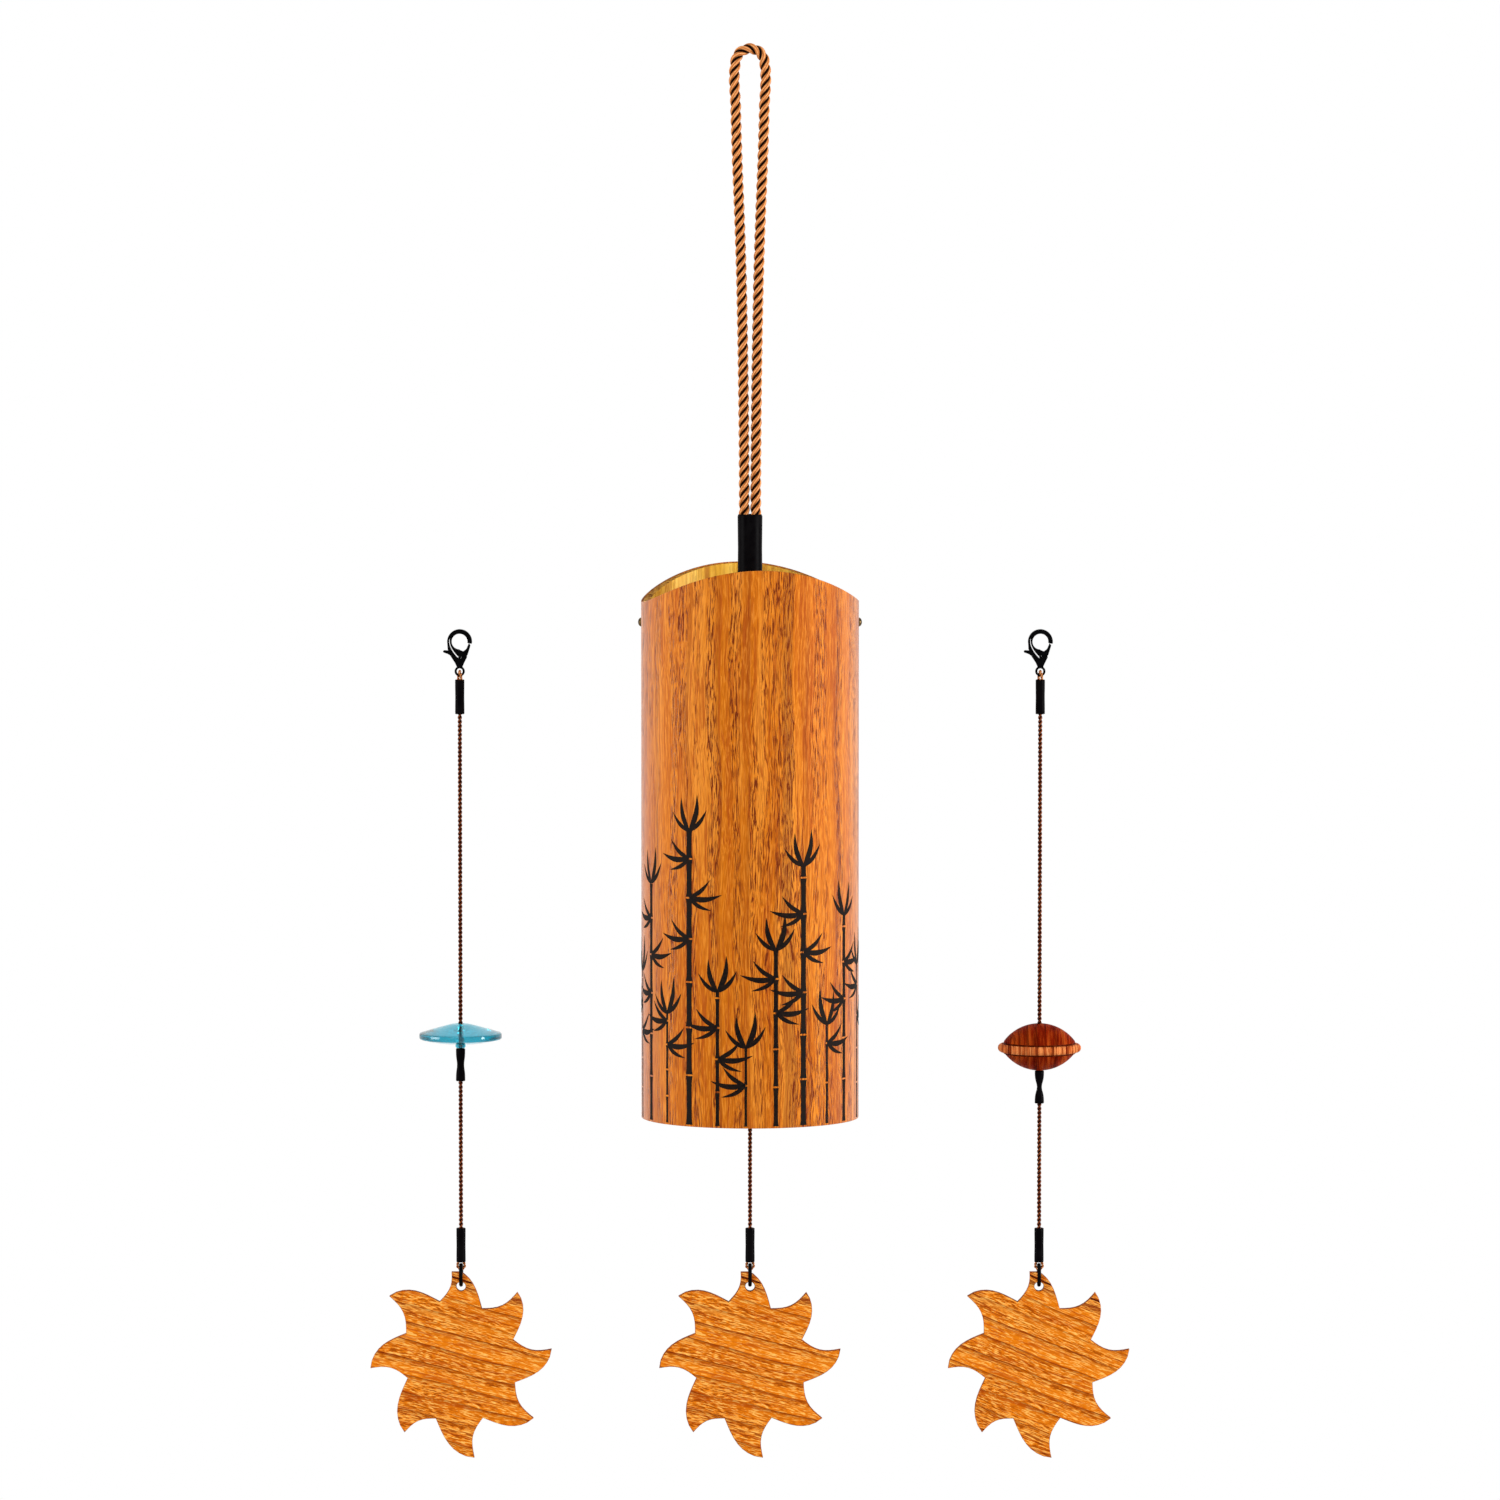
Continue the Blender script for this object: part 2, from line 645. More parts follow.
@contextmanager
def editing(action: str = "SELECT") -> Iterator[None]:
    """Works on the active mesh in edit mode, and leaves it afterwards.

    Args:
        action: SELECT or DESELECT, done to the whole mesh first.

    Returns:
        A context in which the mesh is edited.
    """
    bpy.ops.object.mode_set(mode="EDIT")
    bpy.ops.mesh.select_all(action=action)
    yield
    bpy.ops.object.mode_set(mode="OBJECT")


def placed(name: str, data: bpy.types.ID) -> Object:
    """Makes an object of a mesh, camera or lamp and links it to the scene.

    Args:
        name: The object's name.
        data: What it shows.

    Returns:
        The object.
    """
    made = bpy.data.objects.new(name, data)
    bpy.context.scene.collection.objects.link(made)
    return made


def flat_grid(columns: int, rows: int) -> Object:
    """Adds a flat grid of size 1 round the origin.

    Args:
        columns: Faces along X.
        rows: Faces along Y.

    Returns:
        The grid.
    """
    deselect()
    bpy.ops.mesh.primitive_grid_add(x_subdivisions=columns, y_subdivisions=rows, size=1.0)
    return bpy.context.object


def joined(pieces: list[Object], name: str) -> Object:
    """Joins pieces into the first of them.

    Args:
        pieces: The pieces.
        name: The name of the whole.

    Returns:
        The whole.
    """
    take(pieces[0])
    for piece in pieces[1:]:
        piece.select_set(True)
    bpy.ops.object.join()
    pieces[0].name = name
    return pieces[0]


def settle(piece: Object) -> Object:
    """Puts a piece's place into its mesh, so that its object sits at the origin.

    Args:
        piece: The piece.

    Returns:
        The same piece.
    """
    take(piece)
    bpy.ops.object.transform_apply(location=True, rotation=True, scale=True)
    return piece


def clean(piece: Object, merge: float = 0.002 * MM) -> Object:
    """Merges doubles and turns all faces outwards.

    Args:
        piece: The piece.
        merge: Distance within which points are doubles, in metres.

    Returns:
        The same piece.
    """
    take(piece)
    with editing():
        bpy.ops.mesh.remove_doubles(threshold=merge)
        bpy.ops.mesh.normals_make_consistent(inside=False)
    return piece


def modify(piece: Object, kind: str, **settings: object) -> None:
    """Adds a modifier and applies it.

    Args:
        piece: The piece.
        kind: The modifier's type name.
        settings: The modifier's settings.
    """
    take(piece)
    modifier = piece.modifiers.new(kind.lower(), kind)
    for name, value in settings.items():
        setattr(modifier, name, value)
    bpy.ops.object.modifier_apply(modifier=modifier.name)


def shade(piece: Object, angle: float = 35.0) -> Object:
    """Shades a piece smooth.

    Args:
        piece: The piece.
        angle: Least angle of an edge that stays sharp, in degrees.

    Returns:
        The same piece.
    """
    take(piece)
    bpy.ops.object.shade_smooth_by_angle(angle=math.radians(angle))
    return piece


def soften(piece: Object, width: float, angle: float, segments: int = 3) -> Object:
    """Bevels the sharp edges of a piece and shades it smooth.

    Args:
        piece: The piece.
        width: Width of the bevel, in metres.
        angle: Least angle of a sharp edge, in degrees.
        segments: Steps of the bevel.

    Returns:
        The same piece.
    """
    modify(piece, "BEVEL", width=width, segments=segments, limit_method="ANGLE",
           angle_limit=math.radians(angle), use_clamp_overlap=True)
    return shade(piece, angle)


def soften_rims(board: Object, width: float, angle: float) -> Object:
    """Bevels only the edges where a board's two broad faces, along Y, meet its cut edge.

    Args:
        board: The board.
        width: Width of the bevel, in metres.
        angle: Least angle of an edge that stays sharp, in degrees.

    Returns:
        The same board, shaded smooth.
    """
    mesh = board.data
    broad = {tuple(key): 0 for key in mesh.edge_keys}
    for face in mesh.polygons:
        if abs(face.normal.y) > 0.9:
            for key in face.edge_keys:
                broad[tuple(key)] += 1
    weights = mesh.attributes.new("bevel_weight_edge", "FLOAT", "EDGE")
    for edge in mesh.edges:
        weights.data[edge.index].value = float(broad[tuple(sorted(edge.vertices))] == 1)
    modify(board, "BEVEL", width=width, segments=3, limit_method="WEIGHT")
    return shade(board, angle)


def copy_of(node: str) -> Object:
    """Makes a merged copy of a frame node, with its flat faces whole.

    Args:
        node: The node that the piece stands for.

    Returns:
        The new piece.
    """
    piece = placed(node + "_shown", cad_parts[node].data.copy())
    piece.data.materials.clear()
    clean(piece, 0.004 * MM)
    with editing():
        bpy.ops.mesh.dissolve_limited(angle_limit=math.radians(1.0))
    return piece


def cast(piece: Object, grain: float, rounds: int, share: float) -> Object:
    """Rounds a piece all over, as a small casting is.

    Args:
        piece: The sharp piece.
        grain: Size of the cells that it is remade of, in metres.
        rounds: Rounds of smoothing.
        share: Share of the faces that are kept.

    Returns:
        The same piece, shaded smooth.
    """
    modify(piece, "REMESH", mode="VOXEL", voxel_size=grain)
    modify(piece, "SMOOTH", factor=0.5, iterations=rounds)
    modify(piece, "DECIMATE", ratio=share)
    return shade(piece, 60.0)


def spun(name: str, profile: list[Flat], axis: Point, origin: Point, steps: int,
         sweep: float = FULL_TURN) -> Object:
    """Spins a profile round an axis.

    Args:
        name: The piece's name.
        profile: Points as distance from the axis and height along it, in metres.
        axis: Direction of the axis, along X or along Z.
        origin: Point on the axis from which heights count.
        steps: Number of steps round the axis.
        sweep: Angle of the spin, in radians.

    Returns:
        The new piece, with its faces outwards.
    """
    along = Vector(axis)
    out = Vector(ALONG_Z if along.x else ALONG_X)
    points = [Vector(origin) + out * r + along * h for r, h in profile]
    deselect()
    bpy.ops.mesh.primitive_plane_add(size=MM, location=points[0])
    piece = bpy.context.object
    piece.name = name
    settle(piece)
    with editing():
        bpy.ops.mesh.merge(type="CENTER")
        for last, point in zip(points, points[1:]):
            bpy.ops.mesh.extrude_vertices_move(TRANSFORM_OT_translate={"value": point - last})
        bpy.ops.mesh.select_all(action="SELECT")
        bpy.ops.mesh.spin(steps=steps, angle=sweep, center=origin, axis=axis)
    return clean(piece)


def arc(centre: Flat, radius: float, first: float, last: float, steps: int) -> list[Flat]:
    """Returns points on an arc, with angles in degrees from the outward direction."""
    angles = [math.radians(first + (last - first) * i / steps) for i in range(steps + 1)]
    return [(centre[0] + radius * math.cos(a), centre[1] + radius * math.sin(a)) for a in angles]


class Workshop:
    """Holds the materials, and dresses pieces and hands them to the frame."""

    def __init__(self) -> None:
        """Builds every finish once."""
        groups = Groups()
        self.materials = {finish.name: finish.build(groups) for finish in FINISHES}

    def coat(self, piece: Object, *finishes: str) -> None:
        """Gives a piece one material for each finish, in order."""
        for finish in finishes:
            piece.data.materials.append(self.materials[finish])

    def dress(self, piece: Object, body: str, slot: str, finish: str, *nodes: str) -> None:
        """Gives a piece its body, and its finish if it has none yet.

        Args:
            piece: The finished mesh, in place.
            body: The frame's body that it rides on.
            slot: The record's material slot.
            finish: The name of its finish.
            nodes: The frame's nodes that it stands for.
        """
        if not piece.data.materials:
            self.coat(piece, finish)
        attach(piece, body)
        if nodes:
            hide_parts(*nodes)
        log.info("%s: %d faces on %s", piece.name, len(piece.data.polygons), body)


# Twisted cords
def smooth_route(points: list[Point], step: float) -> list[Vector]:
    """Runs a smooth curve through a route's points.

    Args:
        points: The route's own points, in metres.
        step: Distance between the points that are returned.

    Returns:
        Points along the curve, about evenly spaced.
    """
    knots = [Vector(p) for p in points]
    knots = [2 * knots[0] - knots[1], *knots, 2 * knots[-1] - knots[-2]]
    line = []
    for a, b, c, d in zip(knots, knots[1:], knots[2:], knots[3:]):
        before, span, after = (b - a).length, (c - b).length, (d - c).length
        leave = (c - b) + span * ((b - a) / before - (c - a) / (before + span))
        arrive = (c - b) + span * ((d - c) / after - (d - b) / (span + after))
        count = max(1, round(span / step))
        for i in range(count):
            t = i / count
            line.append(b + leave * t + (3 * (c - b) - 2 * leave - arrive) * t ** 2
                        + (leave + arrive - 2 * (c - b)) * t ** 3)
    return line + [knots[-2]]


def heading_at(line: list[Vector], i: int) -> Vector:
    """Returns the direction of a line at its point i."""
    return (line[min(i + 1, len(line) - 1)] - line[max(i - 1, 0)]).normalized()


class Ring(NamedTuple):
    """A point of a cord, two directions square to the cord, and its distance along it."""

    centre: Vector
    side: Vector
    other: Vector
    along: float


@dataclass
class Twist:
    """A cord of a few strands laid round each other in a right-handed twist."""

    name: str
    strands: int
    strand_r: float
    offset: float
    lay: float
    sides: int

    def build(self, line: list[Vector], start_side: Point) -> Object:
        """Sweeps the strands along a line.

        Args:
            line: Points down the middle of the cord.
            start_side: A direction square to the line's start.

        Returns:
            The cord as one mesh, with U in lays along each strand and V round it.
        """
        rings = self.rings(line, start_side)
        verts, faces, uvs = [], [], []
        for strand in range(self.strands):
            first = len(verts)
            for ring in rings:
                angle = FULL_TURN * (ring.along / self.lay + strand / self.strands)
                out = ring.side * math.cos(angle) + ring.other * math.sin(angle)
                across = ring.other * math.cos(angle) - ring.side * math.sin(angle)
                for j in range(self.sides):
                    turn = FULL_TURN * j / self.sides + math.pi
                    verts.append(ring.centre + out * (self.offset + self.strand_r * math.cos(turn))
                                 + across * self.strand_r * math.sin(turn))
            for i in range(len(rings) - 1):
                for j in range(self.sides):
                    corners = ((i, j), (i, j + 1), (i + 1, j + 1), (i + 1, j))
                    faces.append([first + a * self.sides + b % self.sides for a, b in corners])
                    uvs += [(rings[a].along / self.lay, b / self.sides) for a, b in corners]
            for i, order in ((0, -1), (len(rings) - 1, 1)):
                faces.append([first + i * self.sides + j for j in range(self.sides)][::order])
                uvs += [(0.0, 0.0)] * self.sides
        mesh = bpy.data.meshes.new(self.name)
        mesh.from_pydata(verts, [], faces)
        layer = mesh.uv_layers.new(name="lay")
        layer.data.foreach_set("uv", [x for uv in uvs for x in uv])
        mesh.polygons.foreach_set("use_smooth", [len(f) == 4 for f in faces])
        return placed(self.name, mesh)

    def rings(self, line: list[Vector], start_side: Point) -> list[Ring]:
        """Carries two directions along the line without twist.

        Args:
            line: Points down the middle of the cord.
            start_side: A direction square to the line's start.

        Returns:
            A ring for each point.
        """
        side, along, found = Vector(start_side), 0.0, []
        for i, point in enumerate(line):
            heading = heading_at(line, i)
            side = (side - heading * side.dot(heading)).normalized()
            along += (point - line[i - 1]).length if i else 0.0
            found.append(Ring(point, side, heading.cross(side), along))
        return found


# Sub-assemblies
@dataclass
class HangingRope:
    """The rope loop, hitched round the pin at both ends, and its binding sleeve."""

    shop: Workshop
    diameter: float = 3.2 * MM
    lay: float = 8.7 * MM
    strands: int = 3
    strand_share: float = 0.255
    offset_share: float = 0.245
    sides: int = 16
    step: float = 0.32 * MM
    bight_r: float = 4.2 * MM
    bight_steps: int = 8
    leg: tuple[Flat, ...] = (
        (4.1, -16), (3.7, -30), (3.1, -45), (2.6, -60), (2.2, -78), (1.9, -97), (1.72, -115))
    leg_x: float = 1.65 * MM
    hitch_x: float = 5.2 * MM
    hitch_r: float = 2.55 * MM
    hitch_steps: int = 6
    sleeve_wall: float = 0.45 * MM
    sleeve_lip: float = 0.3 * MM
    sleeve_waist: float = 0.1 * MM

    def route(self) -> list[Point]:
        """Finds the rope's way from one hitch over the loop to the other.

        Returns:
            The rope's own points.
        """
        sleeve, pin_z, rope_r = Box.of("rope_sleeve"), Box.of("hanger_pin").mid.z, self.diameter / 2
        low, high = sleeve.low.z, sleeve.high.z
        hitch = arc((0.0, pin_z), self.hitch_r, 180, 360, self.hitch_steps)
        bight = arc((0.0, rope_r - self.bight_r), self.bight_r, 180, 0, self.bight_steps)
        right = [(x * MM, 0.0, z * MM) for x, z in self.leg]
        right += [(self.leg_x, 0.0, high), (self.leg_x, 0.0, low),
                  ((self.leg_x + self.hitch_x) / 2, -self.hitch_r / 2,
                   (pin_z + self.hitch_r + low) / 2)]
        right += [(self.hitch_x, y, z) for y, z in hitch]
        right.append((self.hitch_x, self.hitch_r, pin_z + rope_r))
        left = [(-x, y, z) for x, y, z in reversed(right)]
        return left + [(x, 0.0, z) for x, z in bight] + right

    def build_rope(self) -> None:
        """Builds the rope."""
        line = smooth_route(self.route(), self.step)
        twist = Twist("twisted_rope", self.strands, self.strand_share * self.diameter,
                      self.offset_share * self.diameter, self.lay, self.sides)
        rope = twist.build(line, ALONG_X)
        self.shop.dress(rope, "hanger", "rope", "rope_yarn", "hanging_rope")

    def build_sleeve(self) -> None:
        """Builds the binding sleeve with its turned-in ends."""
        box = Box.of("rope_sleeve")
        low, high, r, lip = box.low.z, box.high.z, box.high.x, self.sleeve_lip
        bore = r - self.sleeve_wall
        profile = [(bore, low + 3 * lip), (bore, low), (r - lip, low), (r, low + lip),
                   (r - self.sleeve_waist, box.mid.z), (r, high - 2 * lip),
                   (r - 0.6 * lip, high - 0.4 * lip), (r - 1.4 * lip, high),
                   (bore, high - 0.3 * lip), (bore, high - 4 * lip)]
        sleeve = shade(spun("binding_sleeve", profile, ALONG_Z, (0.0, 0.0, 0.0), 64))
        self.shop.dress(sleeve, "hanger", "black_sleeve", "black_sleeve", "rope_sleeve")

    def build(self) -> None:
        """Builds the rope and the sleeve."""
        self.build_rope()
        self.build_sleeve()


@dataclass
class ChimeTube:
    """The veneered tube with its printed bamboo, the pin, the base plate and the tuned rods.

    The print's sizes are in millimetres: each stalk has its place across, its height, its width
    and the length of its lowest joint, and each leaf its lean in degrees and its length.
    """

    shop: Workshop
    rim_r: float = 54 * MM
    crest_turn: float = math.radians(6)
    segments: int = 256
    edge_bevel: float = 0.12 * MM
    bamboo_sink: float = 0.3 * MM
    pin_bevel: float = 0.2 * MM
    plate_bevel: float = 0.3 * MM
    cap_seat: float = 0.2 * MM
    rods: int = 8
    rod_cut: float = 0.25 * MM
    rod_crown: float = 0.02 * MM
    ink: float = 0.05 * MM
    stalks: tuple[tuple[float, float, float, float], ...] = (
        (-44, 44, 1.0, 9.0), (-35.5, 70, 1.5, 13.0), (-27, 33, 0.8, 8.0), (-18.5, 86, 1.7, 14.5),
        (-9.5, 40, 1.0, 10.0), (-1.2, 24, 0.7, 12.0), (7.5, 52, 1.2, 11.5), (16, 76, 1.6, 13.5),
        (24.5, 30, 0.8, 12.0), (32.5, 61, 1.4, 12.5), (43, 46, 1.1, 10.5))
    stalk_foot: float = 0.6
    joint_gap: float = 0.5
    joint_shrink: float = 0.95
    joint_flare: float = 0.35
    leafy: Flat = (0.5, 0.92)
    tip_leaves: tuple[Flat, ...] = ((-42, 8.5), (-14, 11.0), (16, 10.0), (48, 8.0))
    side_leaves: tuple[Flat, ...] = ((52, 8.5), (84, 10.5), (116, 8.0))
    leaf_slimness: float = 6.5
    leaf_bow: float = 0.09

    def wall(self, name: str, node: str, inner: float, sink: float = 0.0) -> Object:
        """Builds one layer of the wall with its curved rim.

        Args:
            name: The piece's name.
            node: The frame's node that gives its outside and its height.
            inner: Inside radius of the layer.
            sink: How far the layer's rim lies under the curve.

        Returns:
            The layer, open at both ends.
        """
        box = Box.of(node)
        radius, crest = box.high.x, box.high.z - sink - self.rim_r
        deselect()
        bpy.ops.mesh.primitive_cylinder_add(
            vertices=self.segments, radius=radius, depth=2 * box.half.z,
            end_fill_type="NOTHING", location=(0, 0, box.mid.z))
        piece = bpy.context.object
        piece.name = name
        settle(piece)
        for vertex in piece.data.vertices:
            if vertex.co.z > box.mid.z:
                reach = (vertex.co.x * math.cos(self.crest_turn)
                         + vertex.co.y * math.sin(self.crest_turn))
                vertex.co.z = crest + math.sqrt(self.rim_r ** 2 - reach ** 2)
        modify(piece, "SOLIDIFY", thickness=radius - inner, offset=-1.0)
        return soften(piece, self.edge_bevel, 50.0, 2)

    def mark_ends(self, piece: Object, side: str, end: str) -> None:
        """Gives the rim and the lower end of a layer their own finish.

        Args:
            piece: The layer.
            side: The finish of its sides.
            end: The finish of its ends.
        """
        self.shop.coat(piece, side, end)
        for face in piece.data.polygons:
            face.material_index = int(abs(face.normal.z) > 0.5)

    def print_leaf(self, across: float, up: float, lean: float, length: float) -> Object:
        """Builds a leaf's flat shape on the unrolled tube.

        Args:
            across: Place of its root across the print.
            up: Height of its root.
            lean: Its lean from upright, in degrees.
            length: Its length.

        Returns:
            The leaf.
        """
        piece, slope = flat_grid(2, 12), math.radians(lean)
        for vertex in piece.data.vertices:
            t, s = vertex.co.y + 0.5, 2 * vertex.co.x
            half = length / self.leaf_slimness / 2 * math.sin(math.pi * t ** 0.7) ** 0.85
            bow = self.leaf_bow * length * math.sin(math.pi * t) * math.copysign(1.0, lean)
            x, y = s * half + bow, t * length
            vertex.co = (across + x * math.cos(slope) + y * math.sin(slope),
                         up - x * math.sin(slope) + y * math.cos(slope), 0.0)
        return piece

    def print_joint(self, across: float, up: float, height: float, width: float) -> Object:
        """Builds one length of stalk, flat and a little wider at its two ends.

        Args:
            across: Place of its middle across the print.
            up: Height of its foot.
            height: Its own height.
            width: Its width.

        Returns:
            The length of stalk.
        """
        piece = flat_grid(2, 8)
        for vertex in piece.data.vertices:
            t, s = vertex.co.y + 0.5, 2 * vertex.co.x
            flare = 1 + self.joint_flare * abs(2 * t - 1) ** 6
            vertex.co = (across + s * width / 2 * flare, up + t * height, 0.0)
        return piece

    def print_pieces(self) -> list[Object]:
        """Builds the stalks and leaves of the print, flat.

        Returns:
            The stalks' joints and the leaves.
        """
        pieces = []
        for index, (across, top, width, height) in enumerate(self.stalks):
            side = 1 if index % 2 else -1
            up = self.stalk_foot
            while up < top:
                shown = min(height, top - up) - self.joint_gap
                pieces.append(self.print_joint(across, up, shown, width))
                up += height
                height *= self.joint_shrink
                if self.leafy[0] * top < up < self.leafy[1] * top:
                    side = -side
                    pieces += [self.print_leaf(across, up - 0.2, lean * side, length)
                               for lean, length in self.side_leaves]
            pieces += [self.print_leaf(across, top - 1, lean * side, length)
                       for lean, length in self.tip_leaves]
        return pieces

    def build_print(self, radius: float, foot: float) -> None:
        """Wraps the print on the tube as a thin layer of ink.

        Args:
            radius: The tube's outside radius.
            foot: Height of the tube's lower end.
        """
        art = joined(self.print_pieces(), "bamboo_print")
        for vertex in art.data.vertices:
            angle = vertex.co.x * MM / radius
            vertex.co = (radius * math.sin(angle), -radius * math.cos(angle),
                         foot + vertex.co.y * MM)
        settle(art)
        modify(art, "SOLIDIFY", thickness=self.ink, offset=1.0)
        self.shop.dress(clean(art), "tube", "veneer", "print_ink")

    def build_caps(self) -> None:
        """Builds the two domed caps on the pin."""
        box, veneer = Box.of("pin_caps"), Box.of("outer_veneer").high.x
        radius, rise = box.half.z, box.high.x - veneer
        quarter = [math.radians(15 * i) for i in range(7)]
        dome = [(radius * math.cos(a), rise * math.sin(a)) for a in quarter]
        caps = []
        for side in (1, -1):
            profile = [(r, side * (veneer + h)) for r, h in [(radius, -self.cap_seat), *dome]]
            caps.append(spun("pin_cap", profile, ALONG_X, (0.0, 0.0, box.mid.z), 24))
        both = shade(joined(caps, "pin_caps_shown"))
        self.shop.dress(both, "tube", "brass", "brass", "pin_caps")

    def build_rod(self, node: str) -> None:
        """Builds one rod with turned ends.

        Args:
            node: The rod's node.
        """
        box = Box.of(node)
        low, high, r, cut = box.low.z, box.high.z, box.half.x, self.rod_cut
        profile = [(0.0, low), (r - cut, low), (r, low + cut), (r, high - cut), (r - cut, high),
                   (0.0, high + self.rod_crown)]
        centre = (box.mid.x, box.mid.y, 0.0)
        rod = shade(spun(node + "_shown", profile, ALONG_Z, centre, 24), 40.0)
        self.shop.dress(rod, "tube", "rod", "rod", node)

    def build(self) -> None:
        """Builds the tube and what is fixed to it."""
        outside, bamboo_r = Box.of("outer_veneer"), Box.of("bamboo_tube").high.x
        veneer = self.wall("veneer_shown", "outer_veneer", bamboo_r)
        self.mark_ends(veneer, "veneer", "veneer_edge")
        self.shop.dress(veneer, "tube", "veneer", "veneer", "outer_veneer")
        bore = Box.of("base_plate").high.x
        bamboo = self.wall("bamboo_shown", "bamboo_tube", bore, self.bamboo_sink)
        self.mark_ends(bamboo, "bamboo", "bamboo_rim")
        self.shop.dress(bamboo, "tube", "bamboo", "bamboo", "bamboo_tube")
        self.build_print(outside.high.x, outside.low.z)
        self.build_caps()
        for node, finish, bevel in (("hanger_pin", "pin_steel", self.pin_bevel),
                                    ("base_plate", "plate", self.plate_bevel)):
            self.shop.dress(soften(copy_of(node), bevel, 50.0), "tube", finish, finish, node)
        for i in range(1, self.rods + 1):
            self.build_rod(f"chime_rod_{i}")


def jump_ring(shop: Workshop, node: str, body: str) -> None:
    """Builds a wire ring with the small gap where it was closed, facing sideways.

    Args:
        shop: The workshop that dresses it.
        node: The ring's node.
        body: The body that it rides on.
    """
    fuller, gap = 0.25, math.radians(3.0)
    box = Box.of(node)
    thin = box.half.x
    mean, wire = box.half.z - thin + fuller * thin, (1 + fuller) * thin
    loop = [(mean + x, y) for x, y in arc((0.0, 0.0), wire, 0, 360, 12)]
    centre = (box.mid.x, 0.0, box.mid.z)
    ring = spun(node + "_shown", loop, ALONG_X, centre, 48, FULL_TURN - gap)
    with editing("DESELECT"):
        bpy.ops.mesh.select_non_manifold()
        bpy.ops.mesh.fill_holes(sides=0)
    shop.dress(shade(clean(ring), 50.0), body, "black_metal", "black_metal", node)


@dataclass
class Strand:
    """A striker strand: clasp, sleeves, cord, disc and sun.

    The spring's sizes are in millimetres, its points from the middle of the hook, and so are the
    points of the loop's front leg, from the top of the clasp's sleeve.
    """

    shop: Workshop
    name: str
    disc: DiscShape
    disc_finish: str
    sun_finish: str
    waist: float
    cord_lay: float = 2.5 * MM
    cord_step: float = 0.16 * MM
    ply_share: float = 0.6
    offset_share: float = 0.4
    ply_sides: int = 8
    loop_r: float = 0.45 * MM
    loop_lay_share: float = 0.7
    loop_front: tuple[Point, ...] = (
        (0.42, -0.66, -0.8), (0.42, -0.66, 0.0), (0.36, -1.15, 1.0), (0.2, -1.0, 1.75),
        (0.05, -0.5, 2.3))
    loop_leg_x: float = 0.78 * MM
    loop_leg_rise: float = 0.8 * MM
    cast_grain: float = 0.09 * MM
    cast_share: float = 0.3
    gate_reach: float = 1.4 * MM
    gate_draw: Point = (0.1 * MM, 0.0, 0.4 * MM)
    hook_r: float = 3.6 * MM
    spring: tuple[Flat, ...] = (
        (-2.9, 0.9), (-2.85, -0.5), (-2.35, -1.9), (-1.45, -3.3), (-0.35, -4.55))
    spring_start: float = 0.05
    spring_growth: float = 0.11
    spring_step: float = 0.25 * MM
    spring_lift: float = 0.02 * MM
    spring_thick: float = 0.08 * MM
    sleeve_lip: float = 0.14 * MM
    sleeve_waist: float = 0.97
    disc_play: float = 0.12 * MM
    lens_rise: float = 2.6 * MM
    lens_rim: float = 1.9 * MM
    lens_edge: float = 0.55 * MM
    lens_hub: float = 1.5 * MM
    lens_crown: float = 2.2 * MM
    lens_sag: float = 1.3 * MM
    dome_rise: float = 7.0 * MM
    dome_r: float = 10.3 * MM
    dome_crown: float = 1.6 * MM
    dome_curve: float = 12.85 * MM
    band_half: float = 1.25 * MM
    band_from: float = 0.22 * MM
    groove_from: float = 0.03 * MM
    sun_bevel: float = 0.3 * MM
    x: float = field(init=False)
    cord_r: float = field(init=False)

    def __post_init__(self) -> None:
        """Takes the strand's place and the cord's size from the frame."""
        box = Box.of(self.node("cord"))
        self.x, self.cord_r = box.mid.x, box.half.x

    def node(self, piece: str) -> str:
        """Returns the full name of one of the strand's nodes."""
        return f"{self.name}_{piece}"

    def two_ply(self, name: str, radius: float, lay: float) -> Twist:
        """Sizes a cord of two plies.

        Args:
            name: The cord's name.
            radius: Its radius.
            lay: Length of one turn of a ply.

        Returns:
            The cord, not built yet.
        """
        ply_r, offset = self.ply_share * radius, self.offset_share * radius
        return Twist(name, 2, ply_r, offset, lay, self.ply_sides)

    def build_cord(self) -> None:
        """Builds the two-ply cord, straight under the weight of the sun."""
        node, spans = self.node("cord"), 15
        box = Box.of(node)
        low, high = box.low.z, box.high.z
        points = [(self.x, 0.0, high + (low - high) * i / spans) for i in range(spans + 1)]
        line = smooth_route(points, self.cord_step)
        twist = self.two_ply(self.node("twisted_cord"), self.cord_r, self.cord_lay)
        cord = twist.build(line, ALONG_X)
        self.shop.dress(cord, self.name, "cord", "cord_yarn", node)

    def build_loop(self, piece: str, points: list[Point], body: str, side: Point) -> None:
        """Builds one of the end loops as a thinner twist.

        Args:
            piece: Which of the strand's loops it is.
            points: The points that it runs through.
            body: The body that it rides on.
            side: A direction square to its start.
        """
        node = self.node(piece)
        twist = self.two_ply(node + "_shown", self.loop_r, self.loop_lay_share * self.cord_lay)
        loop = twist.build(smooth_route(points, self.cord_step), side)
        self.shop.dress(loop, body, "cord", "loop_yarn", node)

    def clasp_loop(self) -> None:
        """Builds the loop through the clasp's eye, its two legs a little apart."""
        base = Box.of(self.node("clasp_sleeve")).high.z
        points = [*self.loop_front, *((-x, -y, z) for x, y, z in reversed(self.loop_front))]
        route = [(self.x + x * MM, y * MM, base + z * MM) for x, y, z in points]
        self.build_loop("clasp_loop", route, self.name, ALONG_X)

